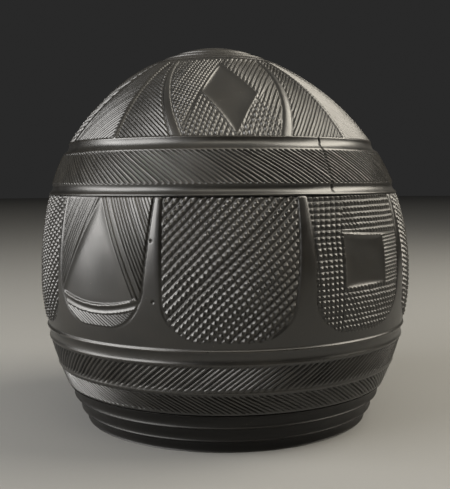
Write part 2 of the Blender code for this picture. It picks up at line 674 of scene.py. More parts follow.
def nine_panels() -> tuple[PanelSpan, ...]:
    """Lay out the panels round the bowl: the measured ones in front, the others evenly behind.

    Returns:
        The panels, from the front one towards +X.
    """
    panels = [PanelSpan(Motif.KNURL, -16.2, 18.6, 28.1, 0.0, 1.7),
              PanelSpan(Motif.SQUARE, 24.6, 57.6, 28.7, 0.5, 2.2)]
    back = (Motif.KNURL, Motif.TRIANGLE, Motif.KNURL, Motif.SQUARE, Motif.TRIANGLE, Motif.KNURL)
    feet = {Motif.KNURL: 28.2, Motif.TRIANGLE: 30.4, Motif.SQUARE: 28.7}
    first, last, rib = 63.6, 305.0, 4.3
    wide = (last - first - rib * (len(back) - 1)) / len(back)
    for index, motif in enumerate(back):
        start = first + index * (wide + rib)
        panels.append(PanelSpan(motif, start, start + wide, feet[motif]))
    panels.append(PanelSpan(Motif.TRIANGLE, 308.9, 338.0, 30.4, 0.5, 2.7))
    return tuple(panels)


@dataclass(frozen=True)
class BowlCarving:
    """Relief of the bowl's outer skin, as distance from the egg's form."""

    form: EggForm
    lower_bead: float = 16.0
    upper_bead: float = 23.0
    bead_height: float = 0.22
    bead_half: float = 0.4
    waist: float = 26.1
    waist_cove: float = 0.36
    ground: float = 0.45
    rib_crown: float = 0.22
    rib_half: float = 1.9
    chart_radius: float = 49.5
    corner: float = 9.0
    pinhole_half: float = 0.42
    pinhole_depth: float = 0.6
    pinholes: tuple[tuple[float, float], ...] = ((-19.3, 50.4), (-18.7, 37.1))
    panels: tuple[PanelSpan, ...] = field(default_factory=nine_panels)
    lower_band: HatchBand = HatchBand(10.4, 15.45, 184, 11.0, Hand.FALLING, fade_low=0.9)
    upper_band: HatchBand = HatchBand(16.3, 22.45, 184, 9.2, Hand.RISING, depth=0.46, fade_low=1.0)
    knurl: Gouge = Gouge(1.52, 0.72, 43.5, width=0.98, bend=0.0022)
    knurl_cross: Gouge = Gouge(1.34, 0.51, 118.0, width=0.95)
    triangle: tuple[tuple[float, float], ...] = ((0.4, 60.4), (-12.8, 37.6), (10.8, 36.9))
    side_rising: Gouge = Gouge(0.78, 0.26, 63.5, width=0.9, uneven=0.45, soft=True)
    side_falling: Gouge = Gouge(0.78, 0.28, 114.0, width=0.9, uneven=0.45, soft=True)
    crescent: Gouge = Gouge(0.64, 0.38, 146.0)
    crescent_top: float = 35.4
    crescent_sag: float = 0.0138
    tablet: tuple[float, float, float, float] = (-6.75, 7.78, 39.3, 50.7)
    stud_rows: Gouge = Gouge(1.30, 0.62, 1.0, width=0.96, offset=0.1)
    fine_rows: Gouge = Gouge(0.88, 0.46, 3.0, width=0.94)
    stud_columns: Gouge = Gouge(1.0, 0.64, 90.0, width=0.96, offset=0.5)
    stud_slants: Gouge = Gouge(1.06, 0.58, 121.0, width=0.98)

    def relief(self, az: Array, z: Array) -> Array:
        """Height of the carving at each point, negative into the wood.

        Args:
            az: Azimuths.
            z: Heights.

        Returns:
            The offset from the form, in millimetres.
        """
        out = -self.lower_band.cut(az, z) - self.upper_band.cut(az, z)
        for bead in (self.lower_bead, self.upper_bead):
            arch = np.clip(1.0 - ((z - bead) / self.bead_half) ** 2, 0.0, 1.0)
            out = out + self.bead_height * arch
        out = out - hollow(z, self.upper_bead + 0.4, self.waist - 0.2, self.waist_cove, 1.0)
        above = ease(z, self.waist, self.waist + 0.4)
        return out * (1.0 - above) + above * self._middle(az, z)

    def twist(self, z: Array) -> Array:
        """Turn of the mesh columns at each height, so that they follow the hatched strokes."""
        return -self.lower_band.slant(z) - self.upper_band.slant(z)

    def _middle(self, az: Array, z: Array) -> Array:
        """Relief of the panels and of the smooth wood between them.

        Args:
            az: Azimuths.
            z: Heights.

        Returns:
            The offset from the form.
        """
        tools = {Motif.KNURL: self._knurl, Motif.TRIANGLE: self._triangle,
                 Motif.SQUARE: self._square}
        scale = math.radians(self.chart_radius)
        rise = ease(z, 30.0, 44.0)
        level = -self.ground + (self.ground - 0.08) * rise
        out = np.array(np.broadcast_to(level, az.shape))
        nearest = np.full(az.shape, -99.0)
        fill = np.zeros(az.shape)
        for panel in self.panels:
            turn = (az - panel.middle + 180.0) % 360.0 - 180.0
            s = turn * scale
            depth = self._outline(s, z, panel)
            close = depth > -3.0
            nearest = np.maximum(nearest, np.where(close, depth, -99.0))
            inside = close & (depth > -0.5)
            field_cut = np.zeros(az.shape)
            field_cut[inside] = tools[panel.motif](s[inside], z[inside])
            fill = np.where(depth > -0.5, -field_cut, fill)
        away = np.clip(-nearest, 0.0, self.rib_half) / self.rib_half
        crown = self.rib_crown * rise * np.clip(1.0 - (away - 1.0) ** 2, 0.0, 1.0)
        out = out - self.rib_crown * rise + crown
        share = ease(nearest, -0.16, 0.16)
        out = out * (1.0 - share) + fill * share
        out = out - vee(nearest + 0.18, 0.4, 0.30) * ease(z, 29.0, 36.0)
        for hole_az, hole_z in self.pinholes:
            reach = np.hypot((az - hole_az) * scale, z - hole_z)
            out = out - vee(reach, self.pinhole_half, self.pinhole_depth)
        return out

    def _outline(self, s: Array, z: Array, panel: PanelSpan) -> Array:
        """Signed distance to a panel's edge, which is round below and open at the rim.

        Args:
            s: Distance from the panel's middle.
            z: Heights.
            panel: The panel.

        Returns:
            The distance, positive inside.
        """
        scale = math.radians(self.chart_radius)
        flare = np.clip((z - 39.0) / 19.0, -0.2, 1.1) * scale
        left = s + panel.half * scale + panel.flare_left * flare
        right = panel.half * scale + panel.flare_right * flare - s
        side = np.minimum(left, right)
        up = z - panel.foot
        q = np.clip(self.corner - side, 0.0, None)
        p = np.clip(self.corner - up, 0.0, None)
        rounded = self.corner - np.hypot(q, p)
        return np.where((q > 0.0) & (p > 0.0), rounded, np.minimum(side, up))

    def _knurl(self, s: Array, z: Array) -> Array:
        """Depth of the knurled panel: deep rising grooves crossed by steeper, lighter ones.

        Args:
            s: Distance from the panel's middle.
            z: Heights.

        Returns:
            The depth.
        """
        return np.maximum(self.knurl.cut(s, z), self.knurl_cross.cut(s, z)) + 0.06

    def _triangle(self, s: Array, z: Array) -> Array:
        """Depth of the panel with a scooped triangle above a hatched crescent.

        Args:
            s: Distance from the panel's middle.
            z: Heights.

        Returns:
            The depth.
        """
        sag = self.crescent_top + self.crescent_sag * s * s
        west, _, east = side_distances(s, z, self.triangle)
        south = z - sag
        inner = np.minimum(np.minimum(west, east), 0.6 * south - 0.1)
        apex = self.triangle[0][0]
        sides = np.where(s < apex, self.side_rising.cut(s, z), self.side_falling.cut(s, z))
        crescent = 0.14 + self.crescent.cut(s, z)
        lower = np.where(south < -2.0, crescent, 0.15 + hollow(-south, 0.35, 1.75, 0.36))
        ground = np.where(south < 0.1, lower, sides)
        dish = 0.06 + 0.62 * np.tanh(np.clip(east, 0.0, None) / 2.2)
        dish = dish * np.tanh(0.2 + np.clip(west, 0.0, None) / 1.2)
        share = ease(inner, -0.05, 0.12)
        edge = vee(inner + 0.22, 0.36, 0.45) * (south > 0.5)
        edge = np.maximum(edge, vee(east + 1.5, 0.4, 0.35) * (south > 0.5))
        return np.maximum(ground, edge) * (1.0 - share) + dish * share

    def _square(self, s: Array, z: Array) -> Array:
        """Depth of the panel with a scooped tablet in a ground of small studs.

        Args:
            s: Distance from the panel's middle.
            z: Heights.

        Returns:
            The depth.
        """
        left, right, foot, head = self.tablet
        tall = np.clip((right - s) / (right - left), 0.0, 1.0)
        low, high = foot - 0.4 * tall, head + 0.8 * tall
        border = left - 0.45 + 0.2 * np.clip(z - head, 0.0, None)
        tablet = np.minimum(np.minimum(s - left, right - s), np.minimum(z - low, high - z))
        beside = (s > right) & (z > 39.0) & (z < 51.2)
        rows = np.where(beside, self.fine_rows.cut(s, z), self.stud_rows.cut(s, z))
        fan = (s - border) / (1.23 + 0.016 * (z - 36.0))
        slanted = self.stud_slants.cut(s, z) * np.where(beside, 0.5, 1.0)
        columns = np.where(s < border, self.stud_columns.cut(fan, z), slanted)
        studs = np.maximum(rows, columns)
        studs = np.maximum(studs, vee(s - border, 0.45, 0.75))
        studs = np.maximum(studs, vee(z - high - 0.45, 0.5, 0.75) * (s > left - 0.5))
        west, east, south, north = s - left, right - s, z - low, high - z
        dish = 0.12 + scoop([west * 1.5, east * 0.8, south * 1.2, north * 1.2], 0.75, 1.0)
        share = ease(tablet, -0.08, 0.12)
        return studs * (1.0 - share) + dish * share


@dataclass(frozen=True)
class LidCarving:
    """Relief of the lid's outer skin, as distance from the egg's form."""

    form: EggForm
    lip: float = 60.5
    lower_cove_top: float = 63.1
    upper_cove_foot: float = 70.8
    upper_cove_top: float = 73.45
    cove: float = 0.55
    ridges: tuple[float, ...] = (-37.0, 47.6, 139.4, 231.2, 323.0)
    middles: tuple[float, ...] = (4.4, 93.5, 185.3, 277.1)
    half_low: float = 16.0
    half_high: float = 30.0
    rib: float = 4.6
    corners: tuple[tuple[float, float], ...] = (
        (-0.2, 92.4), (-10.8, 84.7), (1.4, 73.8), (13.6, 84.1))
    band: HatchBand = HatchBand(63.0, 70.5, 200, 13.6, Hand.FALLING, depth=0.48, curl=1.12,
                                fade_low=0.05)
    upper_left: tuple[Gouge, Gouge] = (Gouge(0.93, 0.40, 65.0, width=0.9),
                                       Gouge(0.98, 0.32, 137.0, width=0.86))
    lower_left: tuple[Gouge, Gouge] = (Gouge(1.14, 0.42, 68.0, width=0.86),
                                       Gouge(0.66, 0.30, 100.0, width=0.9, soft=True))
    right_slant: Gouge = Gouge(1.04, 0.44, 71.0, width=0.95, soft=True)
    right_cross: Gouge = Gouge(1.30, 0.46, 115.0, width=0.86)
    leaf_falling: Gouge = Gouge(0.80, 0.36, 140.0, width=1.0, uneven=0.1, soft=True)
    leaf_rising: Gouge = Gouge(0.84, 0.36, 45.0, width=1.0, uneven=0.1, soft=True)
    leaf_shallow: float = 0.6
    crack_azimuth: float = 33.0
    crack_half: float = 0.26
    crack_depth: float = 0.5
    panel_foot: float = 74.0
    panel_rise: float = 18.5
    squeeze: float = 0.85

    @property
    def top(self) -> float:
        """Height at which the skin meets the crown's seat."""
        return self.form.seat + self.form.crown_sink

    def relief(self, az: Array, z: Array) -> Array:
        """Height of the carving at each point, negative into the wood.

        Args:
            az: Azimuths.
            z: Heights.

        Returns:
            The offset from the form, in millimetres.
        """
        out = -self.band.cut(az, z)
        out = out - hollow(z, self.lip, self.lower_cove_top, self.cove, 1.0)
        out = out - hollow(z, self.upper_cove_foot, self.upper_cove_top, self.cove, 1.0)
        above = ease(z, self.upper_cove_top, self.upper_cove_top + 0.45)
        out = out * (1.0 - above) + above * self._dome(az, z)
        return out - self._crack(az, z)

    def twist(self, z: Array) -> Array:
        """Turn of the mesh columns at each height, so that they follow the hatched strokes."""
        return -self.band.slant(z)

    def _crack(self, az: Array, z: Array) -> Array:
        """A thin drying crack that climbs the lid from the seam.

        Args:
            az: Azimuths.
            z: Heights.

        Returns:
            Its depth.
        """
        path = self.crack_azimuth + 0.12 * (z - 62.0) + 0.18 * np.sin(z * 2.1) + 0.10 * np.sin(z * 5.3)
        gap = (az - path) * math.radians(45.0)
        length = ease(z, 60.4, 61.4) * (1.0 - ease(z, 73.0, 74.6))
        return vee(gap, self.crack_half, self.crack_depth) * length

    def _dome(self, az: Array, z: Array) -> Array:
        """Relief of the panels between the coves and the crown.

        Args:
            az: Azimuths.
            z: Heights.

        Returns:
            The offset from the form.
        """
        round_az = (az - self.ridges[0]) % 360.0 + self.ridges[0]
        index = np.clip(np.searchsorted(self.ridges, round_az, "right") - 1, 0, 3)
        turn = round_az - np.array(self.middles)[index]
        ridge = np.minimum(round_az - np.array(self.ridges)[index],
                           np.array(self.ridges)[index + 1] - round_az)
        scale = np.radians(self.form.radius(z))
        climb = np.clip((z - self.panel_foot) / self.panel_rise, 0.0, 1.1)
        edge = np.abs(turn) - self.half_low - (self.half_high - self.half_low) * climb
        diamond = -edge * scale * self.squeeze
        leaf = (edge - self.rib) * scale * self.squeeze
        fill = np.where(edge < self.rib / 2.0, self._diamond(turn, z),
                        self._leaf(turn, z, ridge * scale, index % 2 == 0))
        nearest = np.maximum(diamond, leaf)
        ribbed = np.clip(np.abs(edge - self.rib / 2.0) / (self.rib / 2.0), 0.0, 1.0)
        smooth_rib = -0.06 - 0.24 * ribbed ** 2
        share = ease(nearest, -0.16, 0.16)
        out = smooth_rib * (1.0 - share) - fill * share - vee(nearest + 0.16, 0.36, 0.26)
        return out * (1.0 - ease(z, self.top - 0.9, self.top - 0.25))

    def _flat(self, turn: Array, z: Array, middle: float = 0.0) -> tuple[Array, Array]:
        """The dome seen square on from one side, where a straight cut is a straight line.

        Args:
            turn: Azimuth from the nearest diamond's middle.
            z: Heights.
            middle: Azimuth the dome is seen from.

        Returns:
            Distances across and up.
        """
        away = np.radians(turn - middle)
        radius = self.form.radius(z)
        return radius * np.sin(away), (z - radius * np.cos(away)) * math.sqrt(0.5)

    def _diamond(self, turn: Array, z: Array) -> Array:
        """Depth of a panel with a scooped diamond in a ground of crossed hatching.

        Args:
            turn: Azimuth from the panel's middle.
            z: Heights.

        Returns:
            The depth.
        """
        s, t = self._flat(turn, z)
        chart = [tuple(float(v) for v in self._flat(a, b)) for a, b in self.corners]
        north_west, south_west, south_east, north_east = side_distances(s, t, chart)
        inner = polygon_depth(s, t, chart)
        upper, lower = (np.maximum(first.cut(s, t), second.cut(s, t))
                        for first, second in (self.upper_left, self.lower_left))
        left = np.where(north_west < 0.0, upper, lower)
        crossing = self.right_cross.cut(s, t) * ease(north_east, -3.0, 0.5)
        right = np.maximum(self.right_slant.cut(s, t), crossing)
        ground = np.where(s < chart[2][0] + (t - chart[2][1]) * 0.05, left, right)
        dish = 0.08 + scoop([north_west * 1.2, south_west * 1.2, south_east * 0.8, north_east],
                            0.85, 0.9)
        share = ease(inner, -0.05, 0.12)
        border = vee(inner + 0.3, 0.42, 0.40)
        border = np.maximum(border, vee(north_west + 0.25, 0.35, 0.5) * (s < 0.0))
        border = np.maximum(border, vee(south_east + 0.95, 0.35, 0.5) * (s > 1.0) * (t > 27.0))
        return np.maximum(ground, border) * (1.0 - share) + dish * share

    def _leaf(self, turn: Array, z: Array, ridge: Array, coarse: Array) -> Array:
        """Depth of the hatched field between two diamonds, which a sharp ridge halves.

        Args:
            turn: Azimuth from the neighbouring diamond's middle.
            z: Heights.
            ridge: Distance from the ridge.
            coarse: Whether the strokes there are cut deep.

        Returns:
            The depth.
        """
        hatch = np.where(turn < 0.0, self.leaf_falling.cut(*self._flat(turn, z, -33.0)),
                         self.leaf_rising.cut(*self._flat(turn, z, 35.0)))
        hatch = hatch * np.where(coarse, 1.0, self.leaf_shallow) + 0.06
        hatch = np.maximum(hatch, vee(ridge - 0.75, 0.35, 0.36))
        return hatch * ease(ridge, 0.25, 0.65) - 0.10 * (1.0 - ease(ridge, 0.0, 0.5))


# ---------------------------------------------------------------- mesh building


class MeshStack:
    """Rings of points stacked into one closed mesh, with its own even surface map."""

    MARGIN = 0.012
    INNER = 0.976

    def __init__(self, name: str) -> None:
        """Start an empty stack.

        Args:
            name: The piece's name.
        """
        self.name = name
        self.rings: list[Array] = []
        self.proud: list[Array] = []

    def ring(self, points: Array, proud: Optional[Array] = None) -> None:
        """Add a ring.

        Args:
            points: Its points, in millimetres.
            proud: How far each point stands out from its surroundings, -1..1.
        """
        self.rings.append(points)
        self.proud.append(np.zeros(len(points)) if proud is None else proud)

    def _joined(self, above: int, below: int, start: Array) -> list[Array]:
        """Faces between two rings, which may differ in their number of points.

        Args:
            above: Index of the first ring.
            below: Index of the second ring.
            start: First point number of every ring.

        Returns:
            One array of face corners for each kind of face.
        """
        n, m = len(self.rings[above]), len(self.rings[below])
        few = min(n, m)
        k = np.arange(few)
        after = (k + 1) % few
        a, b = start[above], start[below]
        if n == m:
            return [np.stack([a + k, b + k, b + after, a + after], 1)]
        if n > m:
            step = n // m
            many = [a + (k * step + i) % n for i in range(step, -1, -1)]
            return [np.stack([many[-1], b + k, b + after, *many[:-1]], 1)]
        step = m // n
        many = [b + (k * step + i) % m for i in range(step + 1)]
        return [np.stack([a + k, *many, a + after], 1)]

    def build(self, closed: bool, strips: int) -> bpy.types.Object:
        """Make the object.

        Args:
            closed: Whether the last ring joins the first; otherwise both ends are capped.
            strips: How many strips the surface map is cut into.

        Returns:
            The new object, linked to the scene.
        """
        counts = np.array([len(ring) for ring in self.rings])
        start = np.concatenate([[0], np.cumsum(counts)[:-1]])
        points = np.concatenate(self.rings) * MM
        gaps = [float(np.abs(np.diff(np.stack([a[0], b[0]]), axis=0)).sum())
                for a, b in zip(self.rings, self.rings[1:] + self.rings[:1])]
        along = np.concatenate([[0.0], np.cumsum(gaps)])
        total = along[-1] if closed else along[-2]
        groups: list[Array] = []
        maps: list[Array] = []
        pairs = [(i, i + 1) for i in range(len(counts) - 1)]
        if closed:
            pairs.append((len(counts) - 1, 0))
        for above, below in pairs:
            for faces in self._joined(above, below, start):
                groups.append(faces)
                high = along[above + 1] if below == 0 else along[below]
                maps.append(self._map(faces, above, along[above], high, total, start, strips))
        if not closed:
            for index, v in ((0, 0.0), (len(counts) - 1, 1.0)):
                loop = start[index] + np.arange(counts[index])
                loop = loop if index == 0 else loop[::-1]
                groups.append(loop[None, :])
                around = np.arange(counts[index]) / counts[index] * math.tau
                disc = np.stack([0.004 + 0.003 * np.cos(around), 0.004 + 0.003 * np.sin(around)], 1)
                maps.append((disc + np.array([0.0, v * 0.99]))[None, :, :])
        return self._object(points, groups, maps)

    def _map(self, faces: Array, above: int, low: float, high: float, total: float,
             start: Array, strips: int) -> Array:
        """Surface map of the faces between two rings.

        Args:
            faces: Their corners.
            above: Index of the first ring.
            low: Length along the profile at the first ring.
            high: Length at the second ring.
            total: Whole length.
            start: First point number of every ring.
            strips: How many strips the map is cut into.

        Returns:
            Map coordinates for every corner.
        """
        ring_of = np.searchsorted(start, faces, side="right") - 1
        sizes = np.array([len(ring) for ring in self.rings])
        share = (faces - start[ring_of]) / sizes[ring_of]
        base = share.min(axis=1, keepdims=True)
        wrapped = share.max(axis=1, keepdims=True) - base > 0.5
        share = np.where(wrapped & (share < 0.5), share + 1.0, share)
        lead = np.floor(share.min(axis=1, keepdims=True) * strips + 1e-6)
        across = share * strips - lead
        length = np.where(ring_of == above, low, high) / total
        u = self.MARGIN + self.INNER * across
        v = (lead + self.MARGIN + self.INNER * length) / strips
        return np.stack([u, v], 2)

    def _object(self, points: Array, groups: list[Array], maps: list[Array]) -> bpy.types.Object:
        """Fill a Blender mesh.

        Args:
            points: All points, in metres.
            groups: Arrays of faces with equal numbers of corners.
            maps: Their map coordinates.

        Returns:
            The object.
        """
        mesh = bpy.data.meshes.new(self.name)
        loops = np.concatenate([g.ravel() for g in groups]).astype(np.int32)
        totals = np.concatenate([np.full(len(g), g.shape[1]) for g in groups]).astype(np.int32)
        starts = np.concatenate([[0], np.cumsum(totals)[:-1]]).astype(np.int32)
        mesh.vertices.add(len(points))
        mesh.vertices.foreach_set("co", points.astype(np.float32).ravel())
        mesh.loops.add(len(loops))
        mesh.loops.foreach_set("vertex_index", loops)
        mesh.polygons.add(len(totals))
        mesh.polygons.foreach_set("loop_start", starts)
        mesh.polygons.foreach_set("loop_total", totals)
        mesh.update(calc_edges=True)
        layer = mesh.uv_layers.new(name="OFBake")
        flat = np.concatenate([m.reshape(-1, 2) for m in maps]).astype(np.float32)
        layer.uv.foreach_set("vector", flat.ravel())
        proud = mesh.attributes.new("proud", "FLOAT", "POINT")
        proud.data.foreach_set("value", np.concatenate(self.proud).astype(np.float32))
        mesh.polygons.foreach_set("use_smooth", np.ones(len(totals), bool))
        mesh.validate()
        mesh.update()
        item = bpy.data.objects.new(self.name, mesh)
        bpy.context.scene.collection.objects.link(item)
        return item


def rounded(outline: Sequence[tuple[float, float]], radius: float, closed: bool,
            step: float = 1.5) -> list[tuple[float, float]]:
    """Round the corners of an outline and fill its long sides with points.

    Args:
        outline: Points (radius, height).
        radius: Rounding of each corner, less where a side is short.
        closed: Whether the last point joins the first.
        step: Longest gap between points.

    Returns:
        The rounded outline.
    """
    result: list[tuple[float, float]] = []
    outline = [p for p, q in zip(outline, [outline[-1], *outline]) if math.dist(p, q) > 1e-6]
    count = len(outline)
    for index, point in enumerate(outline):
        here = np.array(point)
        before = np.array(outline[index - 1])
        after = np.array(outline[(index + 1) % count])
        ends = not closed and index in (0, count - 1)
        back, ahead = before - here, after - here
        lengths = float(np.hypot(*back)), float(np.hypot(*ahead))
        straight = min(lengths) > 1e-6 and float(np.dot(back, ahead)) < -0.94 * lengths[0] * lengths[1]
        if ends or straight:
            result.append((float(here[0]), float(here[1])))
            continue
        cut = min(radius, 0.4 * lengths[0], 0.4 * lengths[1])
        first, last = here + back / lengths[0] * cut, here + ahead / lengths[1] * cut
        for t in (0.0, 0.25, 0.5, 0.75, 1.0):
            spot = first * (1 - t) ** 2 + here * 2 * t * (1 - t) + last * t * t
            result.append((float(spot[0]), float(spot[1])))
    filled: list[tuple[float, float]] = []
    rest = result[1:] + (result[:1] if closed else [])
    for (r0, z0), (r1, z1) in zip(result, rest):
        pieces = max(1, math.ceil(math.hypot(r1 - r0, z1 - z0) / step))
        filled += [(r0 + (r1 - r0) * i / pieces, z0 + (z1 - z0) * i / pieces) for i in range(pieces)]
    return filled if closed else filled + [result[-1]]


def circle(form: EggForm, radius: float, z: float, columns: int, start: float = 0.0) -> Array:
    """A level ring of points, leaned as the form leans.

    Args:
        form: The egg's form.
        radius: Its radius.
        z: Its height.
        columns: How many points.
        start: Azimuth of the first point.

    Returns:
        The points.
    """
    turn = np.arange(columns) * math.tau / columns + math.radians(start)
    shift = float(form.lean(np.array(radius), np.array(z)))
    return np.stack([radius * np.sin(turn) - shift, -radius * np.cos(turn), np.full(columns, z)], 1)


@dataclass
class Workpiece:
    """What every piece of the box has, and how it is dressed."""

    name: str
    body: Body
    form: EggForm
    finish: Union[SatinWood, TurnedWood]

    def dress(self, piece: bpy.types.Object) -> bpy.types.Object:
        """Give the piece its finish and its place in the frame.

        Args:
            piece: The finished mesh.

        Returns:
            The same piece.
        """
        piece.data.materials.append(self.finish.material(self.name + "_finish"))
        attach(piece, self.body.value)
        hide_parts(self.name)
        return piece


@dataclass
class Turning(Workpiece):
    """A piece turned on the lathe from one outline."""

    outline: list[tuple[float, float]]
    closed: bool = True
    corner: float = 0.25
    columns: int = 288

    def build(self) -> bpy.types.Object:
        """Turn the outline.

        Returns:
            The turned piece.
        """
        stack = MeshStack(self.name + "_turned")
        path = rounded(self.outline, self.corner, self.closed)
        if not self.closed:
            path = [(max(r, 0.05), z) for r, z in path]
        for index, (r, z) in enumerate(path):
            stack.ring(circle(self.form, r, z, self.columns), self._proud(path, index))
        length = sum(math.dist(a, b) for a, b in zip(path, path[1:]))
        strips = max(1, round(math.sqrt(math.tau * max(r for r, _ in path) / length)))
        return self.dress(stack.build(self.closed, strips))

    def _proud(self, path: list[tuple[float, float]], index: int) -> Array:
        """How sharply the outline turns outwards at a point.

        Args:
            path: The rounded outline.
            index: Which point.

        Returns:
            The same value for every column.
        """
        before, here = np.array(path[index - 1]), np.array(path[index])
        after = np.array(path[(index + 1) % len(path)])
        a, b = here - before, after - here
        size = float(np.hypot(*a) * np.hypot(*b))
        bend = float(a[0] * b[1] - a[1] * b[0]) / size if size > 1e-9 else 0.0
        return np.full(self.columns, float(np.clip(-bend * 1.5, -1.0, 1.0)))


@dataclass
class CarvedShell(Workpiece):
    """A hollow shell with a carved outer skin and a turned inside."""

    carving: Union[BowlCarving, LidCarving]
    low: float
    high: float
    inside: list[tuple[float, float]]
    columns: int = 1656
    share: int = 6
    spacing: float = 0.19
    seat_edge: bool = False
    lip_drop: float = 0.10
    lip_reach: float = 0.3
    wear_reach: float = 0.8
    wear_height: float = 0.25

    def heights(self) -> Array:
        """Space the skin's rows evenly over the surface.

        Returns:
            Their heights, from the top down.
        """
        fine = np.linspace(self.low, self.high, 4000)
        run = np.hypot(np.diff(self.form.radius(fine)), np.diff(fine))
        along = np.concatenate([[0.0], np.cumsum(run)])
        rows = max(8, round(along[-1] / self.spacing))
        even = np.interp(np.linspace(0.0, along[-1], rows + 1), along, fine)
        even = np.concatenate([[even[0], even[0] + 0.06], even[1:-1], [even[-1] - 0.06, even[-1]]])
        return even[::-1]

    def skin(self) -> tuple[Array, Array]:
        """Points of the carved skin and how far each stands out.

        Returns:
            The points as rows, columns and axes, and the proud values.
        """
        z = self.heights()[:, None]
        az = np.arange(self.columns)[None, :] * 360.0 / self.columns + self.carving.twist(z)
        signed = (az + 180.0) % 360.0 - 180.0
        offset = self.carving.relief(signed, np.broadcast_to(z, signed.shape))
        lip = np.minimum(z - self.low, self.high - z)
        offset = offset - self.lip_drop * (1.0 - ease(lip, 0.0, self.lip_reach))
        slope = self.form.slope(z)
        size = np.hypot(1.0, slope)
        upward = -slope / size * ease(lip, 0.0, 1.2)
        radius = self.form.radius(z) + offset / size
        level = z + offset * upward
        turn = np.radians(az)
        shift = self.form.lean(self.form.radius(z), z)
        points = np.stack([radius * np.sin(turn) - shift, -radius * np.cos(turn),
                           np.broadcast_to(level, radius.shape)], 2)
        return points, self._proud(offset)

    def _proud(self, offset: Array) -> Array:
        """Compare the relief with its average nearby.

        Args:
            offset: The relief.

        Returns:
            Values of -1 in grooves to 1 on tips.
        """
        reach = max(2, round(self.wear_reach / self.spacing))
        smooth = offset
        for axis in (0, 1):
            mode = "edge" if axis == 0 else "wrap"
            pad = [(reach, reach) if a == axis else (0, 0) for a in (0, 1)]
            padded = np.pad(smooth, pad, mode=mode)
            total = np.cumsum(padded, axis=axis)
            total = np.insert(total, 0, 0.0, axis=axis)
            width = 2 * reach + 1
            size = offset.shape[axis]
            upper = np.take(total, np.arange(width, width + size), axis=axis)
            smooth = (upper - np.take(total, np.arange(size), axis=axis)) / width
        return np.clip((offset - smooth) / self.wear_height, -1.0, 1.0)

    def _inner_path(self) -> list[tuple[float, float]]:
        """The inside's outline with its corners eased and both flat rims left open.

        Returns:
            Points (radius, height).
        """
        start = (float(self.form.radius(self.low)), self.low)
        end = (float(self.form.radius(self.high)), self.high)
        path = rounded([start, *self.inside, end], 0.25, False)[1:-1]
        rims = ((self.low, self.inside[0][0] + 0.26), (self.high, self.inside[-1][0] + 0.26))
        return [(r, z) for r, z in path
                if not any(abs(z - edge) < 1e-6 and r > bound for edge, bound in rims)]

    def build(self) -> bpy.types.Object:
        """Carve the skin and close it with the turned inside.

        Returns:
            The shell.
        """
        points, proud = self.skin()
        stack = MeshStack(self.name + "_carved")
        first, last = points[0].copy(), points[-1].copy()
        if self.seat_edge:
            first[:, 2] -= 0.08
        else:
            first[:, :2] *= 1.0 - 0.1 / np.hypot(first[:, 0], first[:, 1])[:, None]
        last[:, :2] *= 1.0 - 0.1 / np.hypot(last[:, 0], last[:, 1])[:, None]
        stack.ring(first)
        for row, value in zip(points, proud):
            stack.ring(row, value)
        stack.ring(last)
        path = self._inner_path()
        ends = float(self.carving.twist(self.low)), float(self.carving.twist(self.high))
        for (r, z), turn in zip(path, np.linspace(*ends, len(path))):
            stack.ring(circle(self.form, r, z, self.columns // self.share, turn))
        return self.dress(stack.build(True, 2))


# ---------------------------------------------------------------- the box


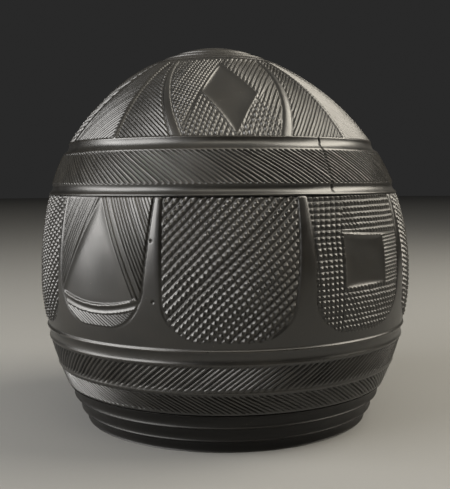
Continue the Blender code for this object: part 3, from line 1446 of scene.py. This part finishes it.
@dataclass
class EggBox:
    """The six pieces of the box and the sizes they share."""

    form: EggForm
    wall: float = 4.5
    gap: float = 0.3
    foot_height: float = 10.1
    seam: float = 60.0
    disc_radius: float = 34.7
    disc_thickness: float = 5.0
    disc_ledge: float = 2.2
    tongue_height: float = 3.9
    tongue_radius: float = 35.7
    collar_radius: float = 41.5
    collar_wall: float = 2.3
    collar_depth: float = 10.0
    collar_rise: float = 5.5
    collar_chamfer: float = 0.6
    collar_ledge: float = 1.5
    neck: float = 7.0
    peg_radius: float = 6.0
    crown_radius: float = 17.0
    crown_step: float = 3.3
    crown_rise: float = 0.4
    foot_ridges: tuple[float, ...] = (0.0, 3.2, 6.8, 10.1)
    foot_cove: float = 0.8

    def skin_run(self, low: float, high: float, inset: float, top: Optional[float] = None,
                 step: float = 1.5) -> list[tuple[float, float]]:
        """Points up the hollow's wall, both ends left out.

        Args:
            low: Where it starts.
            high: Where it ends.
            inset: How far inside the skin.
            top: Height at which the hollow closes.
            step: Spacing of the points.

        Returns:
            Points (radius, height).
        """
        count = max(1, round((high - low) / step))
        heights = [low + (high - low) * i / count for i in range(1, count)]
        return [(float(self.form.radius(z, inset, top)), z) for z in heights]

    def foot_ring(self) -> Turning:
        """The ringed foot with its tongue.

        Returns:
            The piece to turn.
        """
        outer: list[tuple[float, float]] = []
        top = self.foot_height
        for low, high in reversed(list(zip(self.foot_ridges, self.foot_ridges[1:]))):
            for i in range(13):
                z = high - (high - low) * i / 12.0
                sunk = float(hollow(np.array(z), low, high, self.foot_cove))
                outer.append((float(self.form.radius(z)) - sunk, z))
        seat = self.disc_thickness + self.gap
        bore = self.disc_radius + self.gap
        outline = [(self.tongue_radius, top + self.tongue_height), (self.tongue_radius, top), *outer,
                   (bore, 0.0), (bore, seat), (bore - self.disc_ledge, seat),
                   (bore - self.disc_ledge, top + self.tongue_height)]
        finish = SatinWood(stain=(0.003, 0.0028, 0.0025), warm=(0.006, 0.005, 0.004),
                           roughness=0.40, wear_and_sheen=0.25, dusting=0.12, ior=1.42)
        return Turning("foot_ring", Body.BOWL, self.form, finish, outline, corner=0.18, columns=360)

    def base_disc(self) -> Turning:
        """The disc that closes the egg from below.

        Returns:
            The piece to turn.
        """
        r, t = self.disc_radius, self.disc_thickness
        outline = [(0.0, t), (r, t), (r, 0.0), (0.0, 0.0)]
        finish = TurnedWood(dark=(0.010, 0.009, 0.008), light=(0.028, 0.023, 0.018), roughness=0.6)
        return Turning("base_disc", Body.BOWL, self.form, finish, outline, closed=False, corner=0.3)

    def rim_collar(self) -> Turning:
        """The ring inside the bowl's rim.

        Returns:
            The piece to turn.
        """
        low = self.seam - self.collar_depth + self.gap
        high = self.seam + self.collar_rise
        inner = self.collar_radius - self.collar_wall
        outline = [(self.collar_radius - self.collar_chamfer, high),
                   (self.collar_radius, high - self.collar_chamfer), (self.collar_radius, low),
                   (inner, low), (inner, high)]
        return Turning("rim_collar", Body.BOWL, self.form, TurnedWood(), outline)

    def bowl(self) -> CarvedShell:
        """The lower two thirds of the egg.

        Returns:
            The shell to carve.
        """
        bottom = self.foot_height + self.gap
        socket = self.tongue_radius + self.gap
        socket_top = bottom + self.tongue_height
        ledge = self.seam - self.collar_depth
        rebate = self.collar_radius + self.gap
        neck = ledge - self.neck
        inside = [(socket, bottom), (socket, socket_top),
                  (float(self.form.radius(socket_top, self.wall)), socket_top),
                  *self.skin_run(socket_top, neck, self.wall),
                  (float(self.form.radius(neck, self.wall)), neck),
                  (rebate - self.collar_ledge, ledge), (rebate, ledge), (rebate, self.seam)]
        return CarvedShell("bowl_shell", Body.BOWL, self.form, SatinWood(), BowlCarving(self.form),
                           bottom, self.seam, inside)

    def lid(self) -> CarvedShell:
        """The domed lid.

        Returns:
            The shell to carve.
        """
        form = self.form
        foot = self.seam + self.gap / 2.0
        bore = self.collar_radius + self.gap
        bore_top = self.seam + self.collar_rise + 2.0 * self.gap
        seat, hole = form.seat, self.peg_radius + self.gap
        roof = seat - self.wall
        roof_low = roof - self.wall / 2.0
        inside = [(bore, foot), (bore, bore_top),
                  (float(form.radius(bore_top, self.wall, roof)), bore_top),
                  *self.skin_run(bore_top, roof_low, self.wall, roof),
                  (float(form.radius(roof_low, self.wall, roof)), roof_low),
                  (hole, roof), (hole, seat), (form.crown_radius, seat)]
        carving = LidCarving(form)
        return CarvedShell("lid_shell", Body.LID, form, SatinWood(), carving, foot, carving.top,
                           inside, columns=1400, share=5, spacing=0.165, seat_edge=True)

    def crown(self) -> Turning:
        """The stepped button on the lid, with its peg.

        Returns:
            The piece to turn.
        """
        form = self.form
        bottom, peg_end = form.seat + self.gap, form.seat - self.wall
        plain = self.crown_radius - 2.0 * self.crown_step
        outline = [(0.0, form.height)]
        outline += [(plain * i / 8.0, form.height_at(plain * i / 8.0)) for i in range(1, 8)]
        for step in range(3):
            radius = plain + step * self.crown_step
            edge = form.height_at(radius)
            outline += [(radius, edge), (radius, edge - self.crown_rise)]
        outline += [(self.crown_radius, bottom), (self.peg_radius, bottom),
                    (self.peg_radius, peg_end), (0.0, peg_end)]
        finish = SatinWood(stain=(0.009, 0.008, 0.007), roughness=0.38, wear_and_sheen=0.4)
        return Turning("crown_button", Body.LID, form, finish, outline, closed=False, corner=0.16,
                       columns=360)

    def build(self) -> list[bpy.types.Object]:
        """Build and dress every piece.

        Returns:
            The pieces, from the foot up.
        """
        makers = [self.base_disc(), self.foot_ring(), self.bowl(), self.rim_collar(), self.lid(),
                  self.crown()]
        pieces = []
        for maker in makers:
            piece = maker.build()
            LOG.info("%s: %d faces", piece.name, len(piece.data.polygons))
            pieces.append(piece)
        return pieces


# ---------------------------------------------------------------- studio


@dataclass(frozen=True)
class SoftBox:
    """A flat, rectangular soft light aimed at the box."""

    name: str
    azimuth: float
    elevation: float
    distance: float
    width: float
    height: float
    power: float
    colour: tuple[float, float, float] = (1.0, 0.98, 0.95)

    def build(self, target: Vector) -> bpy.types.Object:
        """Place the light.

        Args:
            target: What it is aimed at.

        Returns:
            The light.
        """
        light = bpy.data.lights.new(self.name, "AREA")
        light.shape = "RECTANGLE"
        light.size, light.size_y = self.width, self.height
        light.energy = self.power
        light.color = self.colour
        item = bpy.data.objects.new(self.name, light)
        turn, tilt = math.radians(self.azimuth), math.radians(self.elevation)
        away = Vector((math.sin(turn) * math.cos(tilt), -math.cos(turn) * math.cos(tilt),
                       math.sin(tilt)))
        item.location = target + away * self.distance
        item.rotation_euler = away.to_track_quat("Z", "Y").to_euler()
        bpy.context.scene.collection.objects.link(item)
        return item


@dataclass
class Studio:
    """Floor, soft lights and camera."""

    reach: float = 3.0
    sides: int = 96
    eye: tuple[float, float, float] = (0.0, -0.2163, 0.0634)
    pitch: float = -4.65
    roll: float = -0.35
    lens: float = 62.4
    backdrop: tuple[float, float, float] = (0.022, 0.022, 0.022)
    boxes: tuple[SoftBox, ...] = (
        SoftBox("left", -62.0, 25.0, 0.55, 0.46, 0.34, 3.4),
        SoftBox("left_core", -88.0, 13.0, 0.55, 0.16, 0.30, 0.9),
        SoftBox("right", 94.0, 41.0, 0.55, 0.42, 0.48, 4.5, (1.0, 0.93, 0.80)),
        SoftBox("front", 14.0, 52.0, 0.60, 0.52, 0.20, 0.80, (1.0, 0.93, 0.79)),
        SoftBox("ceiling", 0.0, 89.9, 1.60, 3.00, 3.00, 9.0, (1.0, 0.96, 0.86)),
    )

    def floor(self) -> bpy.types.Object:
        """Lay the plain pale floor.

        Returns:
            The floor.
        """
        rim = [(self.reach * math.cos(a), self.reach * math.sin(a), 0.0)
               for a in np.linspace(0.0, math.tau, self.sides, endpoint=False)]
        mesh = bpy.data.meshes.new("studio_floor")
        mesh.from_pydata(rim, [], [list(range(self.sides))])
        floor = bpy.data.objects.new("studio_floor", mesh)
        mesh.materials.append(StudioPaper().material("studio_paper"))
        bpy.context.scene.collection.objects.link(floor)
        return floor

    def world(self) -> None:
        """An even, dim surround."""
        bpy.context.scene.view_settings.view_transform = "Standard"
        world = bpy.data.worlds.new("studio_surround")
        world.use_nodes = True
        world.node_tree.nodes["Background"].inputs["Color"].default_value = (*self.backdrop, 1.0)
        bpy.context.scene.world = world

    def camera(self) -> bpy.types.Object:
        """Set up the camera, level with the upper part of the egg.

        Returns:
            The camera.
        """
        data = bpy.data.cameras.new("studio_camera")
        data.sensor_fit = "HORIZONTAL"
        data.sensor_width = 36.0
        data.lens = self.lens
        data.clip_start = 0.01
        item = bpy.data.objects.new("studio_camera", data)
        look = Matrix.Rotation(math.radians(90.0 + self.pitch), 4, "X")
        spin = Matrix.Rotation(math.radians(self.roll), 4, "Z")
        item.matrix_world = Matrix.Translation(self.eye) @ look @ spin
        bpy.context.scene.collection.objects.link(item)
        bpy.context.scene.camera = item
        return item

    def build(self) -> None:
        """Set up the studio."""
        self.floor()
        self.world()
        low, high = (Vector(corner) for corner in CAD_BOX)
        target = (low + high) / 2.0
        for box in self.boxes:
            box.build(target)
        self.camera()


def main() -> None:
    """Build the studio and the box."""
    logging.basicConfig(level=logging.INFO, format="%(name)s %(message)s")
    Studio().build()
    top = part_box("crown_button")[1][2] / MM
    box = EggBox(EggForm(height=round(top, 3)), seam=round(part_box("bowl_shell")[1][2] / MM, 3))
    box.build()


if __name__ == "__main__":
    main()
